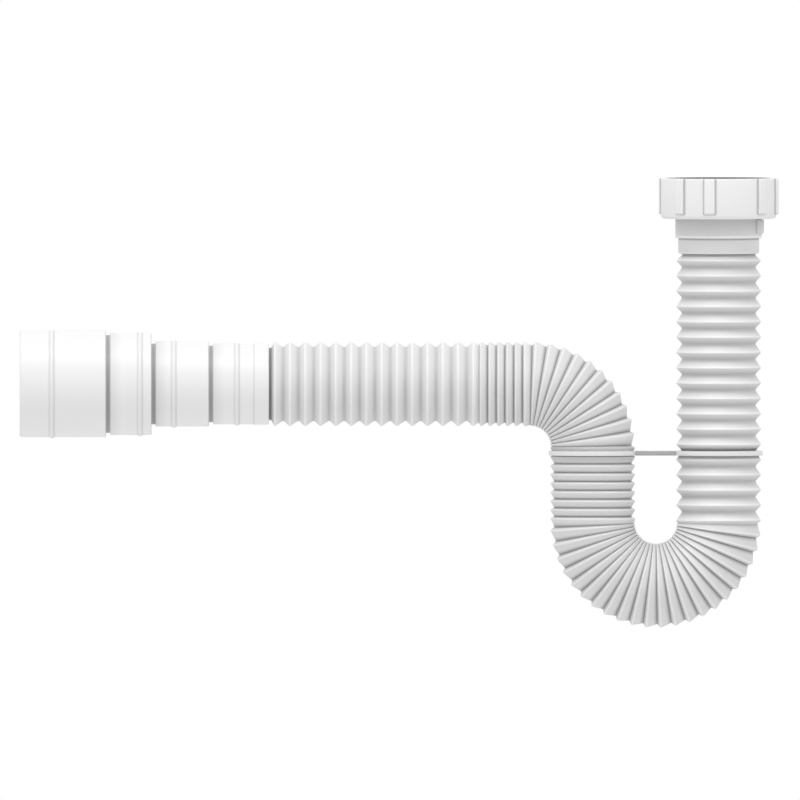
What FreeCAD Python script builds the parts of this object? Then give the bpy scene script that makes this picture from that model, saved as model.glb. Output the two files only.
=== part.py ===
"""Flexible trap for a basin or sink: a corrugated waste pipe bent into a trap.

Millimetres. The origin is the centre of the sealing face inside the coupling nut.
+Z points up out of the nut, where the basin's waste leaves, and the outlet points
along -X. The pipe's centreline lies in the plane Y = 0: down the inlet leg, round the
lower bend, up the middle leg, round the upper bend and out along the outlet leg.
"""

import FreeCAD, Part
import math
import os
import Sketcher

doc = FreeCAD.newDocument("FlexibleTrap")

# Driving dimensions

DIMENSIONS = [
    # Route of the pipe's centreline
    ("inlet_leg", 148.9, "sealing face down to the start of the lower bend"),
    ("bend_radius", 29.6, "centreline radius of both bends"),
    ("folded_outlet", 24.0, "straight run after the upper bend that is still folded up"),
    ("stretched_outlet", 97.4, "straight run of the outlet leg that is pulled out"),
    # Folds
    ("crest_radius", 20.0, "outer radius over the folds"),
    ("stretched_depth", 2.85, "depth of a fold that is pulled out"),
    ("folded_depth", 1.9, "depth of a fold that is pushed together"),
    ("stretched_rise", 0.575, "share of a stretched fold taken by its long flank"),
    ("folded_rise", 0.78, "share of a folded fold taken by its long flank"),
    ("bend_squeeze", 1.1, "how much shallower the folds are on the inside of a bend"),
    ("tube_wall", 0.8, "wall of the folds, measured along the radius"),
    ("stretched_pitch", 7.2, "length of a fold that is pulled out"),
    ("folded_pitch", 4.15, "length of a fold that is pushed together"),
    ("first_rise", 2.6, "first flank of a stretched run, after a neck or the folded run"),
    ("folded_lead", 0.4, "how far past the bend's start the folded run begins"),
    ("last_fall", 1.4, "last flank of a stretched run"),
    # Plain ends of the pipe
    ("cuff_wall", 1.6, "wall of the inlet cuff"),
    ("cuff_end", 22.4, "sealing face down to the cuff's lower edge"),
    ("cuff_edge", 0.5, "bevel of the cuff's lower edge"),
    ("neck_length", 0.8, "plain neck between the cuff and the first fold"),
    ("spigot_wall", 1.5, "wall of the outlet spigot"),
    # Coupling nut, for a G 1 1/2 thread
    ("thread_radius", 23.9, "major radius of the nut's thread"),
    ("thread_length", 12.0, "sealing face up to the mouth's bevel"),
    ("mouth_bevel", 1.0, "bevel of the nut's mouth"),
    ("nut_wall", 3.25, "wall of the nut outside its thread"),
    ("nut_floor", 1.5, "floor that lifts the flange"),
    ("nut_round", 1.8, "rounding of the nut's lower edge"),
    ("nut_top_round", 0.8, "rounding of the nut's upper edge"),
    ("nut_clearance", 0.3, "radial clearance between the turning nut and what it holds"),
    ("rib_proud", 1.15, "how far the grip ribs stand out of the nut"),
    ("rib_width", 4.9, "width of a grip rib"),
    ("rib_foot", 1.9, "bare height under the grip ribs"),
    ("rib_edge", 0.6, "rounding of a grip rib's edges"),
    ("rib_pairs", 4, "pairs of grip ribs round the nut"),
    ("rib_spacing", 33.0, "angle between the two ribs of a pair"),
    ("rib_start", -115.5, "angle of the first pair's middle, from +X towards +Y"),
    # Sealing washer and flanged tailpiece
    ("washer_thickness", 2.3, "rubber washer under the waste"),
    ("flange_thickness", 2.3, "flange that carries the washer"),
    ("thread_room", 1.7, "how far flange and washer lie inside the thread's major radius"),
    ("flange_lip", 1.8, "how far the flange stands out of the collar, over the nut's floor"),
    ("collar_wall", 1.3, "wall of the tailpiece's collar round the pipe's cuff"),
    ("collar_end", 15.2, "sealing face down to the collar's lower edge"),
    ("collar_round", 0.7, "rounding of the collar's lower edge"),
    ("socket_floor", 1.5, "solid neck between flange and socket"),
    ("socket_clearance", 0.05, "radial clearance of the pipe's ends in their sockets"),
    ("end_clearance", 0.1, "clearance between the pipe's ends and their stops"),
    ("lug_proud", 0.9, "how far the stop lug stands out of the collar"),
    ("lug_drop", 0.5, "gap between the nut's floor and the stop lug"),
    ("lug_height", 6.4, "height of the stop lug"),
    ("lug_bevel", 0.6, "bevel of the stop lug's lower edge"),
    ("lug_start", -31.0, "angle where the stop lug begins, from +X towards +Y"),
    ("lug_sweep", 33.0, "angle that the stop lug covers"),
    # Clip that holds the trap's shape
    ("clip_depth", 116.3, "sealing face down to the clip's mid plane"),
    ("clip_headroom", 2.9, "straight run of the middle leg above the clip's mid plane"),
    ("clip_thickness", 2.2, "thickness of the clip's plate"),
    ("clip_proud", 0.7, "how far the clip's rings stand outside the crests"),
    ("clip_clearance", 0.2, "gap, along the leg, between the clip and the flanks beside it"),
    ("clip_play", 0.9, "spare room above and below the ring on the wide inlet valley"),
    ("clip_bar_width", 9.0, "width of the bar between the rings"),
    ("clip_mouth", 26.0, "opening at the back of each ring"),
    ("clip_lip_round", 0.6, "rounding of the lips at the rings' openings"),
    # Stepped outlet adapter
    ("mouth_gap", 1.2, "last fold's root to the adapter's mouth"),
    ("socket_depth", 22.0, "depth of the adapter's socket for the pipe's spigot"),
    ("adapter_edge", 0.6, "bevel of the adapter's mouth and outlet edges"),
    ("adapter_wall", 2.0, "wall of the adapter's steps"),
    ("groove_width", 2.0, "width of the saw grooves between the steps"),
    ("groove_depth", 1.0, "depth of a saw groove below the smaller step"),
    ("step_edge", 0.4, "bevel where a step rises out of its groove"),
    ("mouth_collar", 7.0, "length of the thicker rim round the adapter's mouth"),
    ("collar_proud", 0.2, "how far that rim stands out of the 38 mm step"),
    ("radius_38", 19.0, "38 mm step"),
    ("length_38", 28.2, "length of the 38 mm step with its groove"),
    ("bead_38", 13.9, "start of the 38 mm step to its bead"),
    ("rise_40", 1.0, "how far the 40 mm step stands over the 38 mm one"),
    ("length_40", 27.0, "length of the 40 mm step with its groove"),
    ("bead_40", 15.4, "start of the 40 mm step to its bead"),
    ("rise_48", 4.0, "how far the 48 mm step stands over the 40 mm one"),
    ("length_48", 21.4, "length of the 48 mm step with its groove"),
    ("bead_48", 4.3, "start of the 48 mm step to its bead"),
    ("rise_50", 1.0, "how far the 50 mm step, for the waste pipe, stands over the 48 mm one"),
    ("length_50", 40.6, "length of the 50 mm step"),
    ("bead_50", 24.4, "start of the 50 mm step to its bead"),
    ("bead_width", 2.2, "width of a bead at its foot"),
    ("bead_proud", 0.6, "height of a bead"),
]

sheet = doc.addObject("Spreadsheet::Sheet", "Dimensions")
for row, (alias, value, meaning) in enumerate(DIMENSIONS, start=1):
    sheet.set(f"A{row}", alias)
    sheet.set(f"B{row}", str(value))
    sheet.set(f"C{row}", meaning)
    sheet.setAlias(f"B{row}", alias)
doc.recompute()


class Size:
    """A length with the expression that gives it, so that a sketch can be bound to it."""

    def __init__(self, value, text):
        self.value = value
        self.text = text

    def joined(self, other, sign, turned=False):
        other = other if isinstance(other, Size) else Size(other, repr(other))
        left, right = (other, self) if turned else (self, other)
        value = {
            "+": left.value + right.value,
            "-": left.value - right.value,
            "*": left.value * right.value,
            "/": left.value / right.value if right.value else 0.0,
        }[sign]
        return Size(value, f"({left.text} {sign} {right.text})")

    def __add__(self, other):
        return self.joined(other, "+")

    def __sub__(self, other):
        return self.joined(other, "-")

    def __mul__(self, other):
        return self.joined(other, "*")

    def __truediv__(self, other):
        return self.joined(other, "/")

    def __radd__(self, other):
        return self.joined(other, "+", turned=True)

    def __rsub__(self, other):
        return self.joined(other, "-", turned=True)

    def __rmul__(self, other):
        return self.joined(other, "*", turned=True)

    def __neg__(self):
        return 0 - self


def size(alias):
    return Size(float(sheet.get(alias)), f"{sheet.Name}.{alias}")


def bind(target, name, wanted):
    """Set a property to a size and keep it bound to the sheet."""
    target.setExpression(name, wanted.text)


# Sketch and body helpers


def new_body(label):
    body = doc.addObject("PartDesign::Body", label)
    body.Label = label
    return body


def plane_of(body, role):
    return next(f for f in body.Origin.OriginFeatures if f.Role == role)


def new_sketch(body, name, role):
    sketch = body.newObject("Sketcher::SketchObject", name)
    sketch.AttachmentSupport = [(plane_of(body, role), "")]
    sketch.MapMode = "FlatFace"
    return sketch


def place_point(sketch, geometry, end, x, y):
    """Tie one point of the sketch to its two coordinates."""
    for kind, wanted in (("DistanceX", x), ("DistanceY", y)):
        index = sketch.addConstraint(
            Sketcher.Constraint(kind, -1, 1, geometry, end, wanted.value)
        )
        sketch.setExpression(f"Constraints[{index}]", wanted.text)


def outline(sketch, corners):
    """A closed outline of straight lines through corners given as pairs of sizes."""
    points = [FreeCAD.Vector(x.value, y.value, 0) for x, y in corners]
    first = sketch.GeometryCount
    for here, there in zip(points, points[1:] + points[:1]):
        sketch.addGeometry(Part.LineSegment(here, there), False)
    for i, (x, y) in enumerate(corners):
        previous = first + (i - 1) % len(corners)
        sketch.addConstraint(Sketcher.Constraint("Coincident", previous, 2, first + i, 1))
        place_point(sketch, first + i, 1, x, y)


def circle(sketch, x, y, radius):
    centre = FreeCAD.Vector(x.value, y.value, 0)
    index = sketch.addGeometry(
        Part.Circle(centre, FreeCAD.Vector(0, 0, 1), radius.value), False
    )
    place_point(sketch, index, 3, x, y)
    rule = sketch.addConstraint(Sketcher.Constraint("Radius", index, radius.value))
    sketch.setExpression(f"Constraints[{rule}]", radius.text)


def revolve(body, name, sketch, axis, kind="PartDesign::Revolution"):
    feature = body.newObject(kind, name)
    feature.Profile = sketch
    feature.ReferenceAxis = (sketch, [axis])
    feature.Angle = 360.0
    doc.recompute()
    return feature


def extrude(body, name, sketch, length, kind="PartDesign::Pad", midplane=False):
    feature = body.newObject(kind, name)
    feature.Profile = sketch
    feature.Midplane = midplane
    bind(feature, "Length", length)
    doc.recompute()
    return feature


def round_edges(body, name, radius, chosen):
    """Fillet the edges of the body for which chosen(edge) holds."""
    base = body.Tip
    edges = [f"Edge{i}" for i, e in enumerate(base.Shape.Edges, start=1) if chosen(e)]
    fillet = body.newObject("PartDesign::Fillet", name)
    fillet.Base = (base, edges)
    bind(fillet, "Radius", radius)
    doc.recompute()
    return fillet


def is_ring(edge, radius, height):
    """Whether an edge is a full circle of that radius about Z at that height."""
    curve = edge.Curve
    if not isinstance(curve, Part.Circle):
        return False
    full = abs(edge.LastParameter - edge.FirstParameter - 2 * math.pi) < 1e-6
    same = abs(curve.Radius - radius.value) < 1e-6
    return full and same and abs(curve.Center.z - height.value) < 1e-6


# Heights and radii that several pieces share

ORIGIN = Size(0.0, "0")
washer_face = ORIGIN
flange_top = -size("washer_thickness")
flange_foot = flange_top - size("flange_thickness")
nut_foot = flange_foot - size("nut_floor")
nut_top = size("thread_length") + size("mouth_bevel")
nut_radius = size("thread_radius") + size("nut_wall")
flange_radius = size("thread_radius") - size("thread_room")
collar_radius = flange_radius - size("flange_lip")
inlet_socket = collar_radius - size("collar_wall")
cuff_radius = inlet_socket - size("socket_clearance")
water_radius = cuff_radius - size("cuff_wall")
socket_top = flange_foot - size("socket_floor")
collar_foot = -size("collar_end")
cuff_top = socket_top - size("end_clearance")
outlet_socket = size("radius_38") - size("adapter_wall")
spigot_radius = outlet_socket - size("socket_clearance")
spigot_bore = spigot_radius - size("spigot_wall")
middle_leg = size("inlet_leg") - size("clip_depth") + size("clip_headroom")
outlet_height = middle_leg + size("bend_radius") - size("inlet_leg")
mouth_reach = (
    size("bend_radius") * 3
    + size("folded_outlet")
    + size("stretched_outlet")
    + size("mouth_gap")
)
# Room for the clip in a valley, along the leg, where its ring ends
inlet_room = size("clip_thickness") + size("clip_play") * 2
middle_room = size("clip_thickness") + size("clip_clearance") * 2


def coupling_nut():
    """Moulded nut: thread bore, seat for the flange, and grip ribs in pairs."""
    body = new_body("coupling_nut")
    hole = collar_radius + size("nut_clearance")
    seat = flange_radius + size("nut_clearance")
    section = new_sketch(body, "NutSection", "XZ_Plane")
    outline(
        section,
        [
            (hole, nut_foot),
            (nut_radius, nut_foot),
            (nut_radius, nut_top),
            (size("thread_radius") + size("mouth_bevel"), nut_top),
            (size("thread_radius"), size("thread_length")),
            (size("thread_radius"), washer_face),
            (seat, washer_face),
            (seat, flange_foot),
            (hole, flange_foot),
        ],
    )
    revolve(body, "NutTurned", section, "V_Axis")
    round_edges(
        body, "NutLowerEdge", size("nut_round"), lambda e: is_ring(e, nut_radius, nut_foot)
    )
    round_edges(
        body, "NutUpperEdge", size("nut_top_round"), lambda e: is_ring(e, nut_radius, nut_top)
    )
    # Each rib is drawn in an upright plane through the axis and padded to both sides
    rib_root = size("thread_radius") + size("nut_wall") / 2
    rib_crest = nut_radius + size("rib_proud")
    rib_low = nut_foot + size("rib_foot")
    nose = size("rib_proud")
    ribs = []
    for side, name in ((-0.5, "RibLeft"), (0.5, "RibRight")):
        drawing = new_sketch(body, name + "Outline", "XZ_Plane")
        turn = size("rib_start") + size("rib_spacing") * side
        drawing.AttachmentOffset = FreeCAD.Placement(
            FreeCAD.Vector(0, 0, 0), FreeCAD.Rotation(FreeCAD.Vector(0, 1, 0), turn.value)
        )
        bind(drawing, "AttachmentOffset.Rotation.Angle", turn)
        outline(
            drawing,
            [
                (rib_root, rib_low),
                (nut_radius, rib_low),
                (rib_crest, rib_low + nose),
                (rib_crest, nut_top),
                (rib_root, nut_top),
            ],
        )
        ribs.append(extrude(body, name, drawing, size("rib_width"), midplane=True))
    pattern = body.newObject("PartDesign::PolarPattern", "RibPairs")
    pattern.Originals = ribs
    pattern.Axis = (plane_of(body, "Z_Axis"), [""])
    pattern.Angle = 360.0
    bind(pattern, "Occurrences", size("rib_pairs"))
    body.Tip = pattern
    doc.recompute()
    limit = nut_radius.value + size("rib_proud").value / 2

    def on_rib_corner(edge):
        middle = edge.CenterOfMass
        upright = abs(edge.Vertexes[0].X - edge.Vertexes[-1].X) < 1e-6
        upright = upright and abs(edge.Vertexes[0].Y - edge.Vertexes[-1].Y) < 1e-6
        return upright and math.hypot(middle.x, middle.y) > limit

    round_edges(body, "RibEdges", size("rib_edge"), on_rib_corner)
    return body


def sealing_washer():
    """Flat rubber ring that the basin's waste is pressed onto."""
    body = new_body("sealing_washer")
    ring = new_sketch(body, "WasherRing", "XY_Plane")
    circle(ring, ORIGIN, ORIGIN, flange_radius)
    circle(ring, ORIGIN, ORIGIN, water_radius)
    disc = extrude(body, "WasherDisc", ring, size("washer_thickness"))
    disc.Reversed = True
    doc.recompute()
    return body


def inlet_tailpiece():
    """Flange under the washer and the collar that holds the pipe's cuff."""
    body = new_body("inlet_tailpiece")
    section = new_sketch(body, "TailpieceSection", "XZ_Plane")
    outline(
        section,
        [
            (water_radius, flange_top),
            (water_radius, socket_top),
            (inlet_socket, socket_top),
            (inlet_socket, collar_foot),
            (collar_radius, collar_foot),
            (collar_radius, flange_foot),
            (flange_radius, flange_foot),
            (flange_radius, flange_top),
        ],
    )
    revolve(body, "TailpieceTurned", section, "V_Axis")
    round_edges(
        body,
        "CollarLowerEdge",
        size("collar_round"),
        lambda e: is_ring(e, collar_radius, collar_foot),
    )
    # A short lug under the nut stops it from sliding down the collar
    drawing = new_sketch(body, "LugOutline", "XZ_Plane")
    drawing.AttachmentOffset = FreeCAD.Placement(
        FreeCAD.Vector(0, 0, 0),
        FreeCAD.Rotation(FreeCAD.Vector(0, 1, 0), size("lug_start").value),
    )
    bind(drawing, "AttachmentOffset.Rotation.Angle", size("lug_start"))
    lug_root = (inlet_socket + collar_radius) / 2
    lug_crest = collar_radius + size("lug_proud")
    lug_top = nut_foot - size("lug_drop")
    lug_low = lug_top - size("lug_height")
    outline(
        drawing,
        [
            (lug_root, lug_low),
            (lug_crest - size("lug_bevel"), lug_low),
            (lug_crest, lug_low + size("lug_bevel")),
            (lug_crest, lug_top),
            (lug_root, lug_top),
        ],
    )
    lug = revolve(body, "StopLug", drawing, "V_Axis")
    bind(lug, "Angle", size("lug_sweep"))
    doc.recompute()
    return body


def outlet_adapter():
    """Stepped outlet: four pipe sizes with a bead each and saw grooves between them."""
    body = new_body("outlet_adapter")
    body.Placement = FreeCAD.Placement(
        FreeCAD.Vector(0, 0, 0), FreeCAD.Rotation(FreeCAD.Vector(0, 0, 1), 180)
    )
    bind(body, "Placement.Base.x", -mouth_reach)
    bind(body, "Placement.Base.z", outlet_height)
    edge = size("adapter_edge")
    groove = size("groove_width")
    # Outside, from the mouth that takes the pipe to the outlet end
    rim = size("radius_38") + size("collar_proud")
    outside = [
        (ORIGIN, rim - edge),
        (edge, rim),
        (size("mouth_collar"), rim),
        (size("mouth_collar"), size("radius_38")),
    ]
    starts = {}
    radii = {"38": size("radius_38")}
    reach = ORIGIN
    slope = size("bead_width") / 4
    names = ("38", "40", "48", "50")
    for name, following in zip(names, names[1:] + (None,)):
        radius = radii[name]
        starts[name] = reach
        bead = reach + size("bead_" + name)
        outside += [
            (bead, radius),
            (bead + slope, radius + size("bead_proud")),
            (bead + size("bead_width") - slope, radius + size("bead_proud")),
            (bead + size("bead_width"), radius),
        ]
        reach = reach + size("length_" + name)
        if following:
            floor = radius - size("groove_depth")
            larger = radius + size("rise_" + following)
            radii[following] = larger
            outside += [
                (reach - groove, radius),
                (reach - groove, floor),
                (reach, floor),
                (reach, larger - size("step_edge")),
                (reach + size("step_edge"), larger),
            ]
        else:
            outside += [(reach - edge, radius), (reach, radius - edge)]
    # Inside, back from the outlet end to the socket
    wall = size("adapter_wall")
    inside = [(reach, radii["50"] - wall)]
    for name, smaller in (("50", "48"), ("48", "40")):
        inner = radii[name] - wall
        neck = radii[smaller] - wall
        inside += [
            (starts[name] + wall * 2, inner),
            (starts[name] + wall, neck),
        ]
    inside += [
        (starts["40"] + wall * 2, radii["40"] - wall),
        (starts["40"], spigot_bore),
        (size("socket_depth"), spigot_bore),
        (size("socket_depth"), outlet_socket),
        (edge, outlet_socket),
        (ORIGIN, outlet_socket + edge),
    ]
    section = new_sketch(body, "AdapterSection", "XZ_Plane")
    outline(section, outside + inside)
    revolve(body, "AdapterTurned", section, "H_Axis")
    return body


def trap_clip():
    """Flat clip with two rings, open at the back, that keeps the lower bend closed."""
    body = new_body("trap_clip")
    bind(body, "Placement.Base.z", -(size("clip_depth") + size("clip_thickness") / 2))
    outer = size("crest_radius") + size("clip_proud")
    middle_x = -(size("bend_radius") * 2)
    thickness = size("clip_thickness")
    # A ring reaches into its valley to where the flanks leave it that room
    inlet_share = 1 - inlet_room / size("stretched_pitch")
    middle_share = 1 - middle_room / size("folded_pitch")
    legs = (
        ("Inlet", ORIGIN, size("stretched_depth") * inlet_share),
        ("Middle", middle_x, size("folded_depth") * middle_share),
    )
    bar = new_sketch(body, "BarOutline", "XY_Plane")
    half = size("clip_bar_width") / 2
    outline(
        bar,
        [
            (middle_x, -half),
            (ORIGIN, -half),
            (ORIGIN, half),
            (middle_x, half),
        ],
    )
    extrude(body, "Bar", bar, thickness)
    for name, x, bite in legs:
        disc = new_sketch(body, name + "Disc", "XY_Plane")
        circle(disc, x, ORIGIN, outer)
        extrude(body, name + "Ring", disc, thickness)
    for name, x, bite in legs:
        hole = new_sketch(body, name + "Hole", "XY_Plane")
        circle(hole, x, ORIGIN, size("crest_radius") - bite)
        extrude(body, name + "Bore", hole, thickness, "PartDesign::Pocket", midplane=True)
        body.Tip.Type = "ThroughAll"
        mouth = new_sketch(body, name + "Mouth", "XY_Plane")
        gap = size("clip_mouth") / 2
        outline(
            mouth,
            [
                (x - gap, ORIGIN),
                (x + gap, ORIGIN),
                (x + gap, outer + 1),
                (x - gap, outer + 1),
            ],
        )
        extrude(body, name + "Opening", mouth, thickness, "PartDesign::Pocket", midplane=True)
        body.Tip.Type = "ThroughAll"
    doc.recompute()
    round_edges(
        body,
        "RingLips",
        size("clip_lip_round"),
        lambda e: is_upright(e, thickness.value) and e.CenterOfMass.y > half.value,
    )
    return body


def is_upright(edge, length):
    """Whether an edge is a straight line of that length along Z."""
    straight = isinstance(edge.Curve, Part.Line)
    direction = edge.Vertexes[-1].Point - edge.Vertexes[0].Point
    return straight and abs(abs(direction.z) - length) < 1e-6


# Corrugated pipe

SEAM = 1e-6


class Route:
    """Centreline of the pipe: a place and a direction for each length along it."""

    def __init__(self):
        self.radius = size("bend_radius").value
        self.lower_start = size("inlet_leg").value
        self.lower_end = self.lower_start + math.pi * self.radius
        self.upper_start = self.lower_end + middle_leg.value
        self.upper_end = self.upper_start + math.pi / 2 * self.radius

    def at(self, along):
        """Point, direction and the side that faces out of the bend, if there is one."""
        radius = self.radius
        floor = -self.lower_start
        ceiling = floor + self.upper_start - self.lower_end
        none = FreeCAD.Vector(0, 0, 0)
        if along <= self.lower_start:
            return FreeCAD.Vector(0, 0, -along), FreeCAD.Vector(0, 0, -1), none
        if along < self.lower_end:
            turn = (along - self.lower_start) / radius
            outward = FreeCAD.Vector(math.cos(turn), 0, -math.sin(turn))
            centre = FreeCAD.Vector(-radius, 0, floor)
            heading = FreeCAD.Vector(-math.sin(turn), 0, -math.cos(turn))
            return centre + outward * radius, heading, outward
        if along <= self.upper_start:
            rise = along - self.lower_end
            place = FreeCAD.Vector(-2 * radius, 0, floor + rise)
            return place, FreeCAD.Vector(0, 0, 1), none
        if along < self.upper_end:
            turn = (along - self.upper_start) / radius
            outward = FreeCAD.Vector(math.cos(turn), 0, math.sin(turn))
            centre = FreeCAD.Vector(-3 * radius, 0, ceiling)
            heading = FreeCAD.Vector(-math.sin(turn), 0, math.cos(turn))
            return centre + outward * radius, heading, outward
        out = along - self.upper_end
        place = FreeCAD.Vector(-3 * radius - out, 0, ceiling + radius)
        return place, FreeCAD.Vector(-1, 0, 0), none


def folds(start, end, pitch, rise_share, depth, first_rise=None, last_fall=None):
    """Crests and roots of one stretch, as lengths along the route with a depth each.

    The stretch starts at a root and ends at one. It takes the number of folds that brings
    them nearest to the pitch, and they share its length, apart from a first or last flank
    whose own length is given.
    """
    given = (first_rise or 0.0) + (last_fall or 0.0)
    shares = (first_rise is not None) * rise_share
    shares += (last_fall is not None) * (1 - rise_share)
    count = max(2, round((end - start - given) / pitch + shares))
    even = (end - start - given) / (count - shares)
    rises = [rise_share * even] * count
    falls = [(1 - rise_share) * even] * count
    if first_rise is not None:
        rises[0] = first_rise
    if last_fall is not None:
        falls[-1] = last_fall
    marks = []
    here = start
    for rise, fall in zip(rises, falls):
        here += rise
        marks.append((here, 0.0))
        here += fall
        marks.append((here, depth))
    return marks


def fold_marks(route):
    """All folds of the pipe, from the cuff's neck to the outlet's."""
    wide = {
        "pitch": size("stretched_pitch").value,
        "rise_share": size("stretched_rise").value,
        "depth": size("stretched_depth").value,
    }
    tight = {
        "pitch": size("folded_pitch").value,
        "rise_share": size("folded_rise").value,
        "depth": size("folded_depth").value,
    }
    start = size("cuff_end").value + size("neck_length").value
    # The clip hangs down on the lower flank of its wide valley, and fills its tight one
    hang = size("clip_play").value - size("clip_clearance").value
    drop = (wide["rise_share"] - 0.5) * inlet_room.value + hang
    lift = (tight["rise_share"] - 0.5) * middle_room.value
    inlet_valley = size("clip_depth").value - drop
    folded_start = route.lower_start + size("folded_lead").value
    clip_rise = size("inlet_leg").value - size("clip_depth").value
    middle_valley = route.lower_end + clip_rise - lift
    folded_end = route.upper_end + size("folded_outlet").value
    end = folded_end + size("stretched_outlet").value
    # Both flanks of a valley that takes the clip keep the plain pitch
    wide_rise = wide["rise_share"] * wide["pitch"]
    wide_fall = wide["pitch"] - wide_rise
    tight_rise = tight["rise_share"] * tight["pitch"]
    tight_fall = tight["pitch"] - tight_rise
    first_rise = size("first_rise").value
    last_fall = size("last_fall").value
    marks = [(start, wide["depth"])]
    marks += folds(start, inlet_valley, **wide, first_rise=first_rise, last_fall=wide_fall)
    marks += folds(
        inlet_valley, folded_start, **wide, first_rise=wide_rise, last_fall=last_fall
    )
    marks[-1] = (folded_start, tight["depth"])
    marks += folds(folded_start, middle_valley, **tight, last_fall=tight_fall)
    marks += folds(middle_valley, folded_end, **tight, first_rise=tight_rise)
    marks += folds(folded_end, end, **wide, first_rise=first_rise, last_fall=last_fall)
    return marks


def ring(route, along, radius, squeeze=0.0):
    """A circle round the route, square to it; in a bend its inside is let out by squeeze."""
    place, heading, outward = route.at(along)
    let_out = squeeze / 2 * outward.Length
    side = FreeCAD.Vector(0, 1, 0)
    turned = FreeCAD.Rotation(side, heading.cross(side), heading, "ZXY")
    upright = FreeCAD.Vector(0, 0, 1)
    circle_edge = Part.Circle(FreeCAD.Vector(), upright, radius + let_out).toShape()
    wire = Part.Wire([circle_edge])
    wire.Placement = FreeCAD.Placement(place - outward * let_out, turned)
    return wire


def band(first, second):
    """The straight-sided face from one circle to the next, facing outwards."""
    loft = Part.makeLoft([first, second], True, True)
    return next(f for f in loft.Faces if not isinstance(f.Surface, Part.Plane))


def skin(rings):
    return [band(first, second) for first, second in zip(rings, rings[1:])]


def bellows_tube():
    """One blown pipe: inlet cuff, stretched and folded corrugations, outlet spigot."""
    route = Route()
    wall = size("tube_wall").value
    crest = size("crest_radius").value
    most = size("folded_depth").value
    marks = fold_marks(route)
    outer = []
    inner = []
    # Cuff and its neck
    cuff = cuff_radius.value
    cuff_end = size("cuff_end").value
    cuff_edge = size("cuff_edge").value
    neck = crest - size("stretched_depth").value
    cuff_start = -cuff_top.value
    half_neck = size("neck_length").value / 2
    outer.append(ring(route, cuff_start, cuff))
    outer.append(ring(route, cuff_end - cuff_edge, cuff))
    outer.append(ring(route, cuff_end, cuff - cuff_edge))
    outer.append(ring(route, cuff_end + half_neck, neck))
    inner.append(ring(route, cuff_start, water_radius.value))
    inner.append(ring(route, cuff_end, water_radius.value))
    inner.append(ring(route, cuff_end + half_neck, neck - wall))
    # Folds
    for along, depth in marks:
        squeeze = size("bend_squeeze").value * depth / most
        outer.append(ring(route, along, crest - depth, squeeze))
        inner.append(ring(route, along, crest - depth - wall, squeeze))
    # Spigot inside the adapter
    end = marks[-1][0]
    gap = size("mouth_gap").value
    stop = end + gap + size("socket_depth").value - size("end_clearance").value
    outer.append(ring(route, end + gap / 2, spigot_radius.value))
    outer.append(ring(route, stop, spigot_radius.value))
    inner.append(ring(route, end + gap, spigot_bore.value))
    inner.append(ring(route, stop, spigot_bore.value))
    ends = [Part.Face([outer[i], inner[i]]) for i in (0, -1)]
    shell = Part.makeShell(skin(outer) + skin(inner) + ends)
    shell.sewShape()
    solid = Part.makeSolid(shell)
    # The bore's faces are turned to face the water
    solid.fix(SEAM, SEAM, SEAM)
    piece = doc.addObject("Part::Feature", "bellows_tube")
    piece.Label = "bellows_tube"
    piece.Shape = solid
    piece.Placement = FreeCAD.Placement()
    return piece


def check_document():
    for item in doc.Objects:
        if "Invalid" in item.State or "Error" in item.State:
            raise ValueError(f"{item.Name} did not build: {item.State}")


def check_piece(piece):
    shape = piece.Shape
    if shape.isNull() or not shape.isValid() or len(shape.Solids) != 1:
        raise ValueError(f"{piece.Label} is not one valid solid")


pieces = [
    coupling_nut(),
    sealing_washer(),
    inlet_tailpiece(),
    bellows_tube(),
    trap_clip(),
    outlet_adapter(),
]
doc.recompute()
check_document()
os.makedirs("parts", exist_ok=True)
for piece in pieces:
    check_piece(piece)
    piece.Shape.exportStep(f"parts/{piece.Label}.step")
    box = piece.Shape.BoundBox
    print(
        f"{piece.Label}: {piece.Shape.Volume:.0f} mm3,"
        f" x {box.XMin:.2f} to {box.XMax:.2f},"
        f" y {box.YMin:.2f} to {box.YMax:.2f},"
        f" z {box.ZMin:.2f} to {box.ZMax:.2f}"
    )
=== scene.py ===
"""Looks of the flexible trap: finer shapes, moulded finishes, studio and camera.

Metres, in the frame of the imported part. The origin is the centre of the sealing face
inside the coupling nut, +Z points up out of the nut and the outlet points along -X.
"""

import bmesh
import bpy
import math
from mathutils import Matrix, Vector


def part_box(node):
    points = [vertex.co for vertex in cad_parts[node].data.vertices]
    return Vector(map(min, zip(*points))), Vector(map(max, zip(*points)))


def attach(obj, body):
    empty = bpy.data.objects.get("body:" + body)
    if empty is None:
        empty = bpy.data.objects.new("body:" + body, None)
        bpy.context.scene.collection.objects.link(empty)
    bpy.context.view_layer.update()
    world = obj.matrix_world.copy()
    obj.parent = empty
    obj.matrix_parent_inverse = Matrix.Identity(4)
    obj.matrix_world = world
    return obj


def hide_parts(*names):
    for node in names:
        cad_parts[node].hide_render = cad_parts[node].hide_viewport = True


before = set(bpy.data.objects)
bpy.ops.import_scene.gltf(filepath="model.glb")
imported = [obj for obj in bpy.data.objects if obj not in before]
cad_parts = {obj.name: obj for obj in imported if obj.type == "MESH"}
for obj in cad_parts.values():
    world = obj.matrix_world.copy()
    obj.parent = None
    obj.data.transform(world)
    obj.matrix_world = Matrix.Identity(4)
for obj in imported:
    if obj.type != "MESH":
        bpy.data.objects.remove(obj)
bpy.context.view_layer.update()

MM = 0.001

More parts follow.
